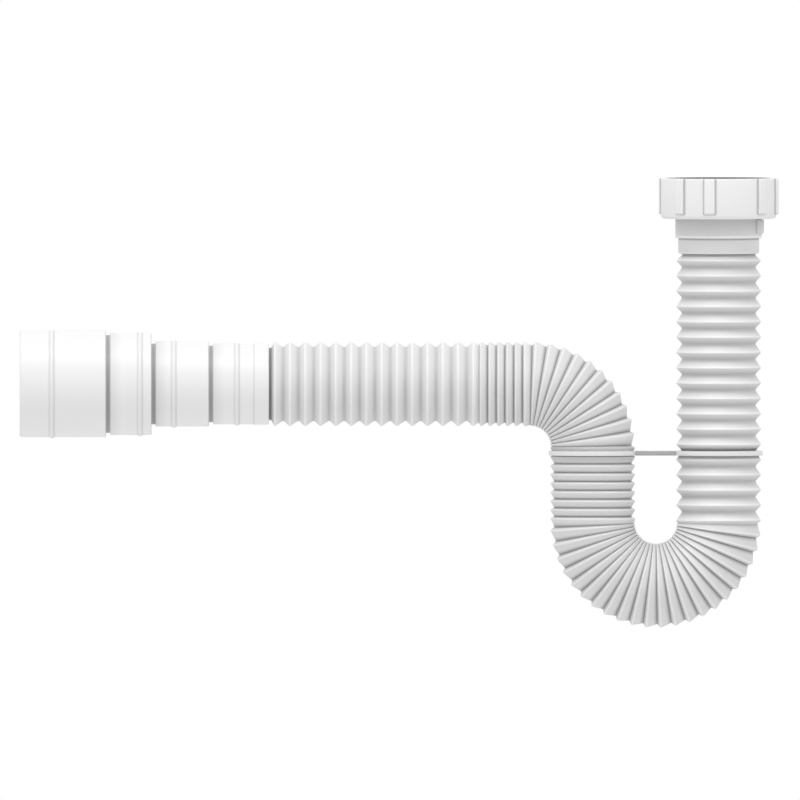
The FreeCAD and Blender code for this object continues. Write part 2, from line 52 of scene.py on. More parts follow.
# Route of the pipe's centreline
INLET_LEG = 148.9 * MM
BEND_RADIUS = 29.6 * MM
MIDDLE_LEG = 35.5 * MM
FOLDED_OUTLET = 24.0 * MM
STRETCHED_OUTLET = 97.4 * MM
LOWER_END = INLET_LEG + math.pi * BEND_RADIUS
UPPER_START = LOWER_END + MIDDLE_LEG
UPPER_END = UPPER_START + math.pi / 2 * BEND_RADIUS

# Folds: length, depth and the long flank's share of a fold, pulled out and pushed together
CREST_RADIUS = 20.0 * MM
WIDE = {"pitch": 7.2 * MM, "depth": 2.85 * MM, "rise_share": 0.575}
TIGHT = {"pitch": 4.15 * MM, "depth": 1.9 * MM, "rise_share": 0.78}
FIRST_RISE = 2.6 * MM
LAST_FALL = 1.4 * MM
FOLDED_LEAD = 0.4 * MM
BEND_SQUEEZE = 1.1 * MM
TUBE_WALL = 0.8 * MM
WIDE_CREST = 0.8 * MM
WIDE_ROOT = 0.9 * MM
TIGHT_CREST = 0.12 * MM
TIGHT_ROOT = 0.16 * MM

# Painted shading, kept as a point attribute of the meshes: 0 is a painted highlight on a pale
# edge, 1 the darkest painted shade, in a tight root. Each kind of fold has its painted shade in
# the root, how fast that comes on down the long and the short flank, and the value at which
# the painted highlight on its crest ends.
INLET_SHADE = (0.76, 0.75, 0.25, 0.2)
FOLDED_SHADE = (1.0, 1.9, 0.9, 0.42)
OUTLET_SHADE = (0.8, 1.1, 1.0, 0.31)
# Painted shade on the cuff and on the inner wall at the ends, which keeps the crests' painted
# highlight off them
CUFF_PAINTED_SHADE = 0.45
# Darkest painted shade at the joints: under the collar's edge and in the neck below the cuff
JOINT_PAINTED_SHADE = 0.82
# Painted shade on the spigot in the adapter's mouth
SPIGOT_PAINTED_SHADE = 0.95
# How far down the cuff the collar's painted shadow reaches
COLLAR_SHADE = 1.2 * MM
# Painted shading at which the painted highlight of a pale edge has faded to the plain level
PAINTED_HIGHLIGHT_END = 0.35
# Shares of a flank, from its crest, at which its shade is set, and the part of it that
# is clear of the roundings
CREST_SHARE = 0.19
FLANK_SHARES = (CREST_SHARE, 0.6)
CLEAR_FLANK = (0.12, 0.88)

# Clip, and the room that the flanks leave it in its two valleys
CLIP_DEPTH = 116.3 * MM
CLIP_THICKNESS = 2.2 * MM
CLIP_PROUD = 0.7 * MM
CLIP_CLEARANCE = 0.2 * MM
CLIP_PLAY = 0.9 * MM
CLIP_BAR_WIDTH = 9.0 * MM
CLIP_MOUTH = 26.0 * MM
CLIP_ROUNDING = 0.3 * MM
CLIP_CREASE = math.radians(30.0)
RING_STEPS = 60
BORE_STEPS = 72
ARM_STEPS = 12
INLET_ROOM = CLIP_THICKNESS + CLIP_PLAY * 2
MIDDLE_ROOM = CLIP_THICKNESS + CLIP_CLEARANCE * 2
# Each ring's place on the route, how far the painted shadow that it casts on the pipe reaches
# along it, and how dark that painted shadow is
CLIP_SHADES = (
    (CLIP_DEPTH, 2.1 * MM, 0.86),
    (LOWER_END + INLET_LEG - CLIP_DEPTH, 2.9 * MM, 0.7),
)

# Tailpiece, and the pipe's cuff in its collar
FLANGE_RADIUS = 22.2 * MM
COLLAR_RADIUS = 20.4 * MM
INLET_SOCKET = 19.1 * MM
CUFF_RADIUS = 19.05 * MM
WATER_RADIUS = 17.45 * MM
WASHER_THICKNESS = 2.3 * MM
FLANGE_FOOT = 4.6 * MM
SOCKET_TOP = 6.1 * MM
CUFF_TOP = 6.2 * MM
COLLAR_END = 15.2 * MM
COLLAR_EDGE = 1.15 * MM
# Where the nut's painted shadow on the collar stops, short of its edge
EDGE_FADE = COLLAR_EDGE / 5
# Darkest painted shadow of the nut on the collar, up under the nut
COLLAR_PAINTED_SHADOW = 0.7
CUFF_END = 22.4 * MM
CUFF_EDGE = 0.5 * MM
CUFF_ROUNDING = 0.4 * MM
NECK_LENGTH = 0.8 * MM
LUG_PROUD = 0.9 * MM
LUG_TOP = 6.6 * MM
LUG_HEIGHT = 6.4 * MM
LUG_BEVEL = 0.6 * MM
LUG_START = math.radians(-31.0)
LUG_SWEEP = math.radians(33.0)
LUG_STEPS = 14
WASHER_ROUNDING = 0.25 * MM
COLLAR_ROUNDING = 0.7 * MM
# Share of the nut's painted shadow on the collar that it has at its lower end already
COLLAR_LEAST = 0.35

# Coupling nut
NUT_LOW, NUT_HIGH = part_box("coupling_nut")
NUT_RADIUS = 27.15 * MM
NUT_HOLE = 20.7 * MM
NUT_SEAT = 22.5 * MM
# Painted shade in the nut's bore and on its thread
BORE_PAINTED_SHADE = 0.51
MOUTH_BEVEL = 1.0 * MM
MOUTH_ROUNDING = 0.25 * MM
# Depth under the rim down to which the outline gets the full painted shade, and from which on
# it has the bore's painted shade
BEVEL_SHADE = MOUTH_BEVEL * 1.5
BORE_SHADE = MOUTH_BEVEL * 2
NUT_FOOT_ROUNDING = 1.8 * MM
NUT_TOP_ROUNDING = 0.8 * MM

# Its thread. Margin and half widths are in pitches: how far the ridge stays from both
# ends of the bore, and how far its foot and tip reach to each side of its middle.
THREAD_RADIUS = 23.9 * MM
THREAD_DEPTH = 1.48 * MM
THREAD_PITCH = 2.309 * MM
THREAD_MARGIN = 0.6
THREAD_HALF_FOOT = 0.47
THREAD_HALF_TIP = 0.09
THREAD_SINK = 0.08 * MM
THREAD_ROUNDING = 0.12 * MM
# Steps of a full turn and of the run in, and the share of its height that it starts at
THREAD_STEPS = 72
RUN_IN_STEPS = 18
THREAD_LEAST = 0.02

# Its grip ribs
RIB_PROUD = 1.15 * MM
RIB_WIDTH = 4.9 * MM
RIB_SINK = 0.25 * MM
RIB_LOW = NUT_LOW.z + 1.9 * MM
RIB_ROUNDING = 0.6 * MM
RIB_END_ROUNDING = RIB_ROUNDING * 1.4
RIB_LEAST_ROUNDING = 0.3
RIB_TOP_STEP = 0.03 * MM
RIB_ROOT_ROUNDING = 1.2 * MM
# Share of the rib's height at which the curve of its root ends, and the place of that
# curve's middle corner, as shares of its height and width
RIB_CLIMB = 0.35
RIB_ROOT_RISE = 0.3
RIB_ROOT_SPREAD = 0.35
# Painted shade on each rib's sides by its root, and under its rounded foot
RIB_ROOT_PAINTED_SHADE = 0.46
RIB_FOOT_PAINTED_SHADE = 0.36
RIB_NOSE_STEPS = 6
RIB_TOP_STEPS = 4
RIB_PAIRS = 4
RIB_SPACING = math.radians(33.0)
RIB_START = math.radians(-115.5)

# Stepped adapter
ADAPTER_LOW, ADAPTER_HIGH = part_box("outlet_adapter")
OUTLET_HEIGHT = (ADAPTER_LOW.z + ADAPTER_HIGH.z) / 2
MOUTH_GAP = 1.2 * MM
SOCKET_DEPTH = 22.0 * MM
SPIGOT_RADIUS = 16.95 * MM
SPIGOT_BORE = 15.45 * MM
SPIGOT_PLAY = 0.1 * MM
OUTLET_SOCKET = 17.0 * MM
ADAPTER_WALL = 2.0 * MM
ADAPTER_EDGE = 0.6 * MM
MOUTH_COLLAR = 7.0 * MM
COLLAR_PROUD = 0.2 * MM
GROOVE_WIDTH = 2.0 * MM
GROOVE_DEPTH = 1.0 * MM
BEAD_WIDTH = 2.2 * MM
BEAD_PROUD = 0.6 * MM
BEAD_SHADE = 0.6 * MM
BEAD_ROUNDING = 0.5 * MM
STEP_EDGE = 0.4 * MM
# Painted shade where the mouth's collar steps down
MOUTH_COLLAR_PAINTED_SHADE = 0.3
# Painted shade at a bead's first foot and shoulder, and at its second shoulder and foot
BEAD_PAINTED_SHADE = (0.42, 0.1, 0.0, 0.3)
# How far before a groove its painted shade begins and darkens, and the painted shade there,
# at its first wall, along its middle and at its second wall
GROOVE_SHADE = 5.5 * MM
GROOVE_EDGE = 0.1 * MM
GROOVE_PAINTED_SHADE = (0.2, 0.6, 1.0, 0.75)
# Radius, length and start of the bead of each step, from the pipe's side outwards
STEPS = (
    (19.0 * MM, 28.2 * MM, 13.9 * MM),
    (20.0 * MM, 27.0 * MM, 15.4 * MM),
    (24.0 * MM, 21.4 * MM, 4.3 * MM),
    (25.0 * MM, 40.6 * MM, 24.4 * MM),
)

# Small roundings that several pieces share
SHARP = 0.0
CRISP = 0.1 * MM
CLOSE = 0.15 * MM
FINE = 0.2 * MM
SOFT = 0.3 * MM

PIPE_SIDES = 72
TURNED_SIDES = 144
SHARP_ANGLE = math.radians(50.0)
SEAM = 0.001 * MM
# Most of a side that the rounding at one of its ends may take
MOST_CUT = 0.48


# Nodes


class Field:
    """A node's output that can stand in a formula, where each sign adds a Math node."""

    def __init__(self, graph, socket):
        self.graph = graph
        self.socket = socket

    def math(self, operation, *others):
        return self.graph.math(operation, self, *others)

    def __add__(self, other):
        return self.math("ADD", other)

    def __radd__(self, other):
        return self.graph.math("ADD", other, self)

    def __sub__(self, other):
        return self.math("SUBTRACT", other)

    def __rsub__(self, other):
        return self.graph.math("SUBTRACT", other, self)

    def __mul__(self, other):
        return self.math("MULTIPLY", other)

    def __rmul__(self, other):
        return self.graph.math("MULTIPLY", other, self)

    def __truediv__(self, other):
        return self.math("DIVIDE", other)

    def __rtruediv__(self, other):
        return self.graph.math("DIVIDE", other, self)

    def between(self, low, high):
        return self.math("MAXIMUM", low).math("MINIMUM", high)


class Graph:
    """A node tree with one method that adds any node, and short names for common ones."""

    def __init__(self, tree):
        self.tree = tree
        tree.nodes.clear()

    def add(self, kind, settings=None, sockets=None):
        node = self.tree.nodes.new(kind)
        for name, value in (settings or {}).items():
            setattr(node, name, value)
        for key, value in (sockets or {}).items():
            for part in value if isinstance(value, list) else [value]:
                if isinstance(part, Field):
                    self.tree.links.new(part.socket, node.inputs[key])
                else:
                    node.inputs[key].default_value = part
        return {output.name: Field(self, output) for output in node.outputs if output.enabled}

    def math(self, operation, *values):
        result = self.add("ShaderNodeMath", {"operation": operation}, dict(enumerate(values)))
        return result["Value"]

    def parts(self, vector):
        found = self.add("ShaderNodeSeparateXYZ", sockets={"Vector": vector})
        return found["X"], found["Y"], found["Z"]

    def vector(self, x, y, z):
        return self.add("ShaderNodeCombineXYZ", sockets={"X": x, "Y": y, "Z": z})["Vector"]

    def blend(self, factor, first, second):
        """A colour between two, by a Mix node's colour sockets."""
        sockets = {"Factor": factor, 6: first, 7: second}
        return self.add("ShaderNodeMix", {"data_type": "RGBA"}, sockets)["Result"]

    def noise(self, place, scale, detail):
        sockets = {"Vector": place, "Scale": scale, "Detail": detail}
        return self.add("ShaderNodeTexNoise", sockets=sockets)["Fac"]

    def bump(self, strength, distance, height):
        sockets = {"Strength": strength, "Distance": distance, "Height": height}
        return self.add("ShaderNodeBump", sockets=sockets)["Normal"]

    def end_finish(self, colour, roughness, **others):
        """The plastic's or rubber's shader and the material's output."""
        sockets = {"Base Color": colour, "Roughness": roughness, **others}
        shader = self.add("ShaderNodeBsdfPrincipled", sockets=sockets)["BSDF"]
        self.add("ShaderNodeOutputMaterial", sockets={"Surface": shader})


def shape_graph(name, inputs):
    """A geometry tree with the named inputs, and what those inputs give inside it."""
    tree = bpy.data.node_groups.new(name, "GeometryNodeTree")
    for label, kind in inputs.items():
        tree.interface.new_socket(label, in_out="INPUT", socket_type="NodeSocket" + kind)
    tree.interface.new_socket("Shape", in_out="OUTPUT", socket_type="NodeSocketGeometry")
    graph = Graph(tree)
    return graph, graph.add("NodeGroupInput")


def end_shape(graph, shape, finish):
    """The tree's last nodes: creased edges, plain mesh, finish and output."""
    faces = graph.add(
        "GeometryNodeSetShadeSmooth", {"domain": "FACE"}, {0: shape, "Shade Smooth": True}
    )
    angle = graph.add("GeometryNodeInputMeshEdgeAngle")["Unsigned Angle"]
    edges = graph.add(
        "GeometryNodeSetShadeSmooth",
        {"domain": "EDGE"},
        {0: faces["Geometry"], "Shade Smooth": angle.math("LESS_THAN", SHARP_ANGLE)},
    )
    real = graph.add("GeometryNodeRealizeInstances", sockets={"Geometry": edges["Geometry"]})
    dressed = graph.add(
        "GeometryNodeSetMaterial", sockets={"Geometry": real["Geometry"], "Material": finish}
    )
    graph.add("NodeGroupOutput", sockets={"Shape": dressed["Geometry"]})


def mesh_from(name, graph, start, values):
    """The plain mesh that a geometry tree makes of a starting mesh."""
    holder = bpy.data.objects.new(name + "_start", start)
    bpy.context.scene.collection.objects.link(holder)
    modifier = holder.modifiers.new(name, "NODES")
    modifier.node_group = graph.tree
    items = graph.tree.interface.items_tree
    sockets = {item.name: item.identifier for item in items if item.in_out == "INPUT"}
    for label, value in values.items():
        modifier[sockets[label]] = value
    bpy.context.view_layer.update()
    depsgraph = bpy.context.evaluated_depsgraph_get()
    mesh = bpy.data.meshes.new_from_object(holder.evaluated_get(depsgraph), depsgraph=depsgraph)
    mesh.name = name
    bpy.data.objects.remove(holder)
    return mesh


# Outlines and plain mesh code


def softened(corners, steps=3):
    """A closed outline whose corners, each a place and a rounding, are turned into curves."""
    points = []
    count = len(corners)
    for i, (corner, rounding) in enumerate(corners):
        corner = Vector(corner)
        before = Vector(corners[i - 1][0]) - corner
        after = Vector(corners[(i + 1) % count][0]) - corner
        turn = math.pi - before.angle(after)
        cut = rounding * math.tan(turn / 2)
        if cut < SEAM:
            points.append(corner)
            continue
        start = corner + before.normalized() * min(cut, before.length * MOST_CUT)
        end = corner + after.normalized() * min(cut, after.length * MOST_CUT)
        for step in range(steps + 1):
            t = step / steps
            points.append(start * (1 - t) ** 2 + corner * 2 * t * (1 - t) + end * t**2)
    return points


def set_painted_shading(mesh, values):
    """Keeps each point's painted shading in the mesh, where the finishes read it."""
    mesh.attributes.new("recess", "FLOAT", "POINT").data.foreach_set("value", values)


def edge_mesh(name, points, painted_shadings):
    """A closed line of edges through the points, each with its painted shading."""
    mesh = bpy.data.meshes.new(name)
    count = len(points)
    edges = [(i, (i + 1) % count) for i in range(count)]
    mesh.from_pydata([tuple(p) for p in points], edges, [])
    set_painted_shading(mesh, painted_shadings)
    return mesh


def skin(name, rings, finish, closed=False, painted_shadings=None):
    """A closed surface over equal rings of points, in a loop or with both ends capped."""
    count = len(rings[0])
    points = [tuple(point) for ring in rings for point in ring]
    faces = []
    for i in range(len(rings) if closed else len(rings) - 1):
        here = i * count
        there = (i + 1) % len(rings) * count
        for j in range(count):
            k = (j + 1) % count
            faces.append((here + j, here + k, there + k, there + j))
    if not closed:
        faces.append(tuple(range(count))[::-1])
        faces.append(tuple(range(len(points) - count, len(points))))
    mesh = bpy.data.meshes.new(name)
    mesh.from_pydata(points, [], faces)
    if painted_shadings:
        if len(painted_shadings) == count:
            painted_shadings = painted_shadings * len(rings)
        set_painted_shading(mesh, painted_shadings)
    return finished(mesh, finish)


def finished(mesh, finish):
    """Faces turned outwards, smooth up to the sharp angle, with their finish."""
    work = bmesh.new()
    work.from_mesh(mesh)
    bmesh.ops.remove_doubles(work, verts=work.verts, dist=SEAM)
    if work.calc_volume(signed=True) < 0:
        bmesh.ops.reverse_faces(work, faces=work.faces)
    for face in work.faces:
        face.smooth = True
    for edge in work.edges:
        edge.smooth = edge.is_manifold and edge.calc_face_angle() < SHARP_ANGLE
    work.to_mesh(mesh)
    work.free()
    mesh.materials.clear()
    mesh.materials.append(finish)
    return mesh


def turned(name, corners, finish, height=None, recess=None):
    """A ring turned from an outline of (along, radius), about Z or about the outlet's axis."""
    section = softened([((along, radius, 0.0), rounding) for along, radius, rounding in corners])
    painted_shadings = [recess(p.x, p.y) for p in section] if recess else None
    rings = []
    for i in range(TURNED_SIDES):
        turn = 2 * math.pi * i / TURNED_SIDES
        if height is None:
            ring = [(p.y * math.cos(turn), p.y * math.sin(turn), p.x) for p in section]
        else:
            ring = [(p.x, p.y * math.cos(turn), height + p.y * math.sin(turn)) for p in section]
        rings.append(ring)
    return skin(name, rings, finish, closed=True, painted_shadings=painted_shadings)


def joined(name, meshes):
    """One mesh of several closed ones with the same finish."""
    work = bmesh.new()
    for mesh in meshes:
        work.from_mesh(mesh)
    result = bpy.data.meshes.new(name)
    work.to_mesh(result)
    work.free()
    result.materials.append(meshes[0].materials[0])
    return result


def show(name, mesh, body, node):
    """Stand a finished mesh in for a node of the part."""
    piece = bpy.data.objects.new(name, mesh)
    bpy.context.scene.collection.objects.link(piece)
    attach(piece, body)
    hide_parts(node)


# Finishes


CLOUD_SCALE = 45.0
GLOSS_SCALE = 210.0
PIT_SCALE = 2600.0
TONE_SPREAD = 0.015
GLOSS_SPREAD = 0.16
PIT_SHARE = 0.7
PIT_HEIGHT = 0.04 * MM
PLASTIC_IOR = 1.49
RUBBER_LEVEL = 0.016
DUSTY_LEVEL = 0.05
RUBBER_ROUGHNESS = 0.6
DUST_ROUGHNESS = 0.3
RUBBER_GRAIN = 0.3
DUST_SCALE = 320.0
DUST_HEIGHT = 0.05 * MM


def grey(level):
    return (level, level, level, 1.0)


def new_material(name):
    material = bpy.data.materials.new(name)
    material.use_nodes = True
    return material, Graph(material.node_tree)


def moulded_plastic(name, level, edge, painted_shade_grey, fade, roughness, grain):
    """White polypropylene: cloudy tone, uneven gloss and fine grain, with a painted highlight
    on pale edges and painted shade in hollows.

    The grey goes from edge, the painted highlight where the painted shading is 0, to level
    where that highlight ends, and from there to the darker grey of painted shade, the later
    the higher fade is.
    """
    material, graph = new_material(name)
    place = graph.add("ShaderNodeTexCoord")["Object"]
    cloud = graph.noise(place, CLOUD_SCALE, detail=3.0)
    gloss = graph.noise(place, GLOSS_SCALE, detail=2.0)
    pits = graph.noise(place, PIT_SCALE, detail=2.0)
    # The attribute read here is painted shading: a painted highlight on pale edges at 0, painted
    # shade in roots, grooves and under overhangs towards 1
    recess = graph.add("ShaderNodeAttribute", {"attribute_name": "recess"})["Fac"]
    face = graph.blend(cloud, grey(level - TONE_SPREAD), grey(level + TONE_SPREAD))
    face = graph.blend((recess / PAINTED_HIGHLIGHT_END).between(0.0, 1.0), grey(edge), face)
    graph.end_finish(
        graph.blend(recess.math("POWER", fade), face, grey(painted_shade_grey)),
        roughness + (gloss - 0.5) * GLOSS_SPREAD,
        Normal=graph.bump(grain, PIT_HEIGHT, pits * PIT_SHARE + cloud * (1 - PIT_SHARE)),
        IOR=PLASTIC_IOR,
    )
    return material


def washer_rubber():
    """Black rubber with a dusty, slightly speckled face."""
    material, graph = new_material("washer_rubber")
    place = graph.add("ShaderNodeTexCoord")["Object"]
    dust = graph.noise(place, DUST_SCALE, detail=4.0)
    graph.end_finish(
        graph.blend(dust, grey(RUBBER_LEVEL), grey(DUSTY_LEVEL)),
        RUBBER_ROUGHNESS + dust * DUST_ROUGHNESS,
        Normal=graph.bump(RUBBER_GRAIN, DUST_HEIGHT, dust),
    )
    return material


# Corrugated pipe


def folds(start, end, pitch, depth, rise_share, first_rise=None, last_fall=None):
    """Crests and roots of one stretch, as lengths along the route with a depth each."""
    given = (first_rise or 0.0) + (last_fall or 0.0)
    shares = (first_rise is not None) * rise_share
    shares += (last_fall is not None) * (1 - rise_share)
    count = max(2, round((end - start - given) / pitch + shares))
    even = (end - start - given) / (count - shares)
    rises = [rise_share * even] * count
    falls = [(1 - rise_share) * even] * count
    if first_rise is not None:
        rises[0] = first_rise
    if last_fall is not None:
        falls[-1] = last_fall
    marks = []
    here = start
    for rise, fall in zip(rises, falls):
        here += rise
        marks.append((here, 0.0))
        here += fall
        marks.append((here, depth))
    return marks


def fold_marks():
    """All folds of the pipe, from the cuff's neck to the outlet's."""
    start = CUFF_END + NECK_LENGTH
    drop = (WIDE["rise_share"] - 0.5) * INLET_ROOM + CLIP_PLAY - CLIP_CLEARANCE
    lift = (TIGHT["rise_share"] - 0.5) * MIDDLE_ROOM
    inlet_valley = CLIP_DEPTH - drop
    folded_start = INLET_LEG + FOLDED_LEAD
    middle_valley = LOWER_END + INLET_LEG - CLIP_DEPTH - lift
    folded_end = UPPER_END + FOLDED_OUTLET
    end = folded_end + STRETCHED_OUTLET
    wide_rise = WIDE["rise_share"] * WIDE["pitch"]
    tight_rise = TIGHT["rise_share"] * TIGHT["pitch"]
    marks = [(start, WIDE["depth"])]
    marks += folds(
        start, inlet_valley, **WIDE, first_rise=FIRST_RISE, last_fall=WIDE["pitch"] - wide_rise
    )
    marks += folds(
        inlet_valley, folded_start, **WIDE, first_rise=wide_rise, last_fall=LAST_FALL
    )
    marks[-1] = (folded_start, TIGHT["depth"])
    marks += folds(folded_start, middle_valley, **TIGHT, last_fall=TIGHT["pitch"] - tight_rise)
    marks += folds(middle_valley, folded_end, **TIGHT, first_rise=tight_rise)
    marks += folds(folded_end, end, **WIDE, first_rise=FIRST_RISE, last_fall=LAST_FALL)
    return marks


def let_out(along, depth):
    """How much wider a root is in a bend, and how far that moves it to the route's left."""
    side = (UPPER_START < along < UPPER_END) - (INLET_LEG < along < LOWER_END)
    wider = abs(side) * BEND_SQUEEZE / 2 * depth / TIGHT["depth"]
    return wider, side * wider


def painted_clip_shadow(along):
    """Painted shadow of the clip's rings at a place beside them on the route, all round the
    pipe.
    """
    clip_shadows = [0.0]
    for ring, reach, shadow_strength in CLIP_SHADES:
        edge = abs(along - ring) - CLIP_THICKNESS / 2
        if edge > 0:
            clip_shadows.append(min(shadow_strength, max(0.0, 2 * (1 - edge / reach))))
    return max(clip_shadows)


def painted_shading_of(point, wall, marks):
    """Painted shading of a point of the wall: 0 is a painted highlight on a crest, 1 painted
    shade in a tight root.
    """
    along = point.x
    # The collar's painted shadow down the cuff's top, a painted highlight on the cuff's lower
    # edge, and painted shade in both necks
    if along < CUFF_END - CUFF_EDGE:
        shade = 2 * (1 - (along - COLLAR_END) / COLLAR_SHADE)
        return min(JOINT_PAINTED_SHADE, max(CUFF_PAINTED_SHADE, shade))
    if along < CUFF_END:
        return 0.0
    if along < marks[0][0] or along > marks[-1][0]:
        neck = JOINT_PAINTED_SHADE if along < marks[0][0] else SPIGOT_PAINTED_SHADE
        return CUFF_PAINTED_SHADE if wall else neck
    if along < INLET_LEG + FOLDED_LEAD:
        deepest, long_power, short_power, flat = INLET_SHADE
        depth = WIDE["depth"]
    elif along <= UPPER_END + FOLDED_OUTLET:
        deepest, long_power, short_power, flat = FOLDED_SHADE
        depth = TIGHT["depth"] - let_out(along, TIGHT["depth"])[0]
    else:
        deepest, long_power, short_power, flat = OUTLET_SHADE
        depth = WIDE["depth"]
    last_depth = [mark_depth for place, mark_depth in marks if place <= along][-1]
    power = long_power if last_depth else short_power
    share = min(1.0, max(0.0, (CREST_RADIUS - wall - point.y) / depth))
    # A painted highlight on the crest, fading over the crest's share into painted shade that
    # deepens towards the root
    crest_end = flat * min(1.0, share / CREST_SHARE)
    return max(deepest * share**power, crest_end, painted_clip_shadow(along))


def flank_places(start, end):
    """Places on one flank, as shares from its start, where its shade is set."""
    run = end[0] - start[0]
    shares = FLANK_SHARES if not start[1] else [1 - share for share in FLANK_SHARES[::-1]]
    edges = []
    for ring, reach, _ in CLIP_SHADES:
        for side in (-1, 1):
            for far in (reach / 2, reach):
                edges.append((ring + side * (CLIP_THICKNESS / 2 + far) - start[0]) / run)
    edges = [share for share in edges if CLEAR_FLANK[0] < share < CLEAR_FLANK[1]]
    return sorted(edges) or shares


def wall_outline():
    """The pipe's wall laid out straight: length along the route, radius and sideways shift."""
    neck = CREST_RADIUS - WIDE["depth"]
    half_neck = NECK_LENGTH / 2
    marks = fold_marks()
    outer = [
        ((CUFF_TOP, CUFF_RADIUS, 0.0), SHARP),
        ((COLLAR_END, CUFF_RADIUS, 0.0), SHARP),
        # Stations that carry the collar's painted shadow down the cuff
        ((COLLAR_END + COLLAR_SHADE / 2, CUFF_RADIUS, 0.0), SHARP),
        ((COLLAR_END + COLLAR_SHADE, CUFF_RADIUS, 0.0), SHARP),
        ((CUFF_END - CUFF_EDGE * 2, CUFF_RADIUS, 0.0), SHARP),
        ((CUFF_END - CUFF_EDGE, CUFF_RADIUS, 0.0), CUFF_ROUNDING),
        ((CUFF_END, CUFF_RADIUS - CUFF_EDGE, 0.0), FINE),
        ((CUFF_END + half_neck, neck, 0.0), CRISP),
    ]
    inner = [
        ((CUFF_TOP, WATER_RADIUS, 0.0), SHARP),
        ((CUFF_END, WATER_RADIUS, 0.0), SHARP),
        ((CUFF_END + half_neck, neck - TUBE_WALL, 0.0), SHARP),
    ]
    for i, (along, depth) in enumerate(marks):
        tight = FOLDED_LEAD + INLET_LEG < along < UPPER_END + FOLDED_OUTLET
        crest, root = (TIGHT_CREST, TIGHT_ROOT) if tight else (WIDE_CREST, WIDE_ROOT)
        rounding = root if depth else crest
        wider, shift = let_out(along, depth)
        corner = Vector((along, CREST_RADIUS - depth + wider, shift))
        if i:
            before = Vector(outer[-1][0])
            for share in flank_places(marks[i - 1], marks[i]):
                outer.append((before.lerp(corner, share), SHARP))
        outer.append((corner, rounding))
        inner.append((corner - Vector((0.0, TUBE_WALL, 0.0)), SHARP))
    end = marks[-1][0]
    stop = end + MOUTH_GAP + SOCKET_DEPTH - SPIGOT_PLAY
    outer.append(((end + MOUTH_GAP / 2, SPIGOT_RADIUS, 0.0), SHARP))
    outer.append(((stop, SPIGOT_RADIUS, 0.0), SHARP))
    inner.append(((end + MOUTH_GAP, SPIGOT_BORE, 0.0), SHARP))
    inner.append(((stop, SPIGOT_BORE, 0.0), SHARP))
    outer = softened(outer)
    inner = softened(inner[::-1])
    painted_shadings = [painted_shading_of(p, 0.0, marks) for p in outer]
    painted_shadings += [painted_shading_of(p, TUBE_WALL, marks) for p in inner]
    return outer + inner, painted_shadings


def pipe_graph():
    """Turns the wall's outline round the centreline and bends it along the trap's route."""
    graph, given = shape_graph(
        "bent_pipe",
        {
            "Wall Outline": "Geometry",
            "Sides": "Int",
            "Inlet Leg": "Float",
            "Bend Radius": "Float",
            "Middle Leg": "Float",
            "Finish": "Material",
        },
    )
    outline = given["Wall Outline"]
    radius = given["Bend Radius"]
    stations = graph.add(
        "GeometryNodeAttributeDomainSize", {"component": "MESH"}, {"Geometry": outline}
    )["Point Count"]
    grid = graph.add(
        "GeometryNodeMeshGrid",
        sockets={
            "Size X": stations,
            "Size Y": 2 * math.pi,
            "Vertices X": stations + 1,
            "Vertices Y": given["Sides"] + 1,
        },
    )["Mesh"]
    position = graph.add("GeometryNodeInputPosition")["Position"]
    across, around, _ = graph.parts(position)
    station = (across + stations / 2).math("ROUND").math("MODULO", stations)
    sampled = graph.add(
        "GeometryNodeSampleIndex",
        {"data_type": "FLOAT_VECTOR", "domain": "POINT"},
        {"Geometry": outline, "Value": position, "Index": station},
    )["Value"]
    along, wall_radius, shift = graph.parts(sampled)
    # The outline's painted shading, carried onto the pipe's points
    given_shading = graph.add(
        "GeometryNodeInputNamedAttribute", {"data_type": "FLOAT"}, {"Name": "recess"}
    )["Attribute"]
    recess = graph.add(
        "GeometryNodeSampleIndex",
        {"data_type": "FLOAT", "domain": "POINT"},
        {"Geometry": outline, "Value": given_shading, "Index": station},
    )["Value"]
    marked = graph.add(
        "GeometryNodeStoreNamedAttribute",
        {"data_type": "FLOAT", "domain": "POINT"},
        {"Geometry": grid, "Name": "recess", "Value": recess},
    )["Geometry"]
    # How far along each leg and round each bend the station lies
    lower_start = given["Inlet Leg"]
    lower_end = lower_start + math.pi * radius
    upper_start = lower_end + given["Middle Leg"]
    upper_end = upper_start + math.pi / 2 * radius
    down = along.math("MINIMUM", lower_start)
    lower_turn = ((along - lower_start) / radius).between(0.0, math.pi)
    up = (along - lower_end).between(0.0, given["Middle Leg"])
    upper_turn = ((along - upper_start) / radius).between(0.0, math.pi / 2)
    out = (along - upper_end).math("MAXIMUM", 0.0)
    centre_x = radius * (
        lower_turn.math("COSINE") + upper_turn.math("COSINE") - 2
    ) - out
    centre_z = radius * (
        upper_turn.math("SINE") - lower_turn.math("SINE")
    ) + up - down
    # The side that is the route's left, turned with it
    turn = lower_turn - upper_turn
    sideways = wall_radius * around.math("COSINE") + shift
    place = graph.vector(
        centre_x + sideways * turn.math("COSINE"),
        wall_radius * around.math("SINE"),
        centre_z - sideways * turn.math("SINE"),
    )
    bent = graph.add(
        "GeometryNodeSetPosition", sockets={"Geometry": marked, "Position": place}
    )["Geometry"]
    closed = graph.add(
        "GeometryNodeMergeByDistance", sockets={"Geometry": bent, "Distance": SEAM}
    )["Geometry"]
    end_shape(graph, closed, given["Finish"])
    return graph


def corrugated_pipe(finish):
    """The blown pipe, from its cuff in the collar to its spigot in the adapter."""
    mesh = mesh_from(
        "corrugated_pipe",
        pipe_graph(),
        edge_mesh("wall_outline", *wall_outline()),
        {
            "Sides": PIPE_SIDES,
            "Inlet Leg": INLET_LEG,
            "Bend Radius": BEND_RADIUS,
            "Middle Leg": MIDDLE_LEG,
            "Finish": finish,
        },
    )
    mesh = finished(mesh, finish)
    show("corrugated_pipe", mesh, "trap", "bellows_tube")


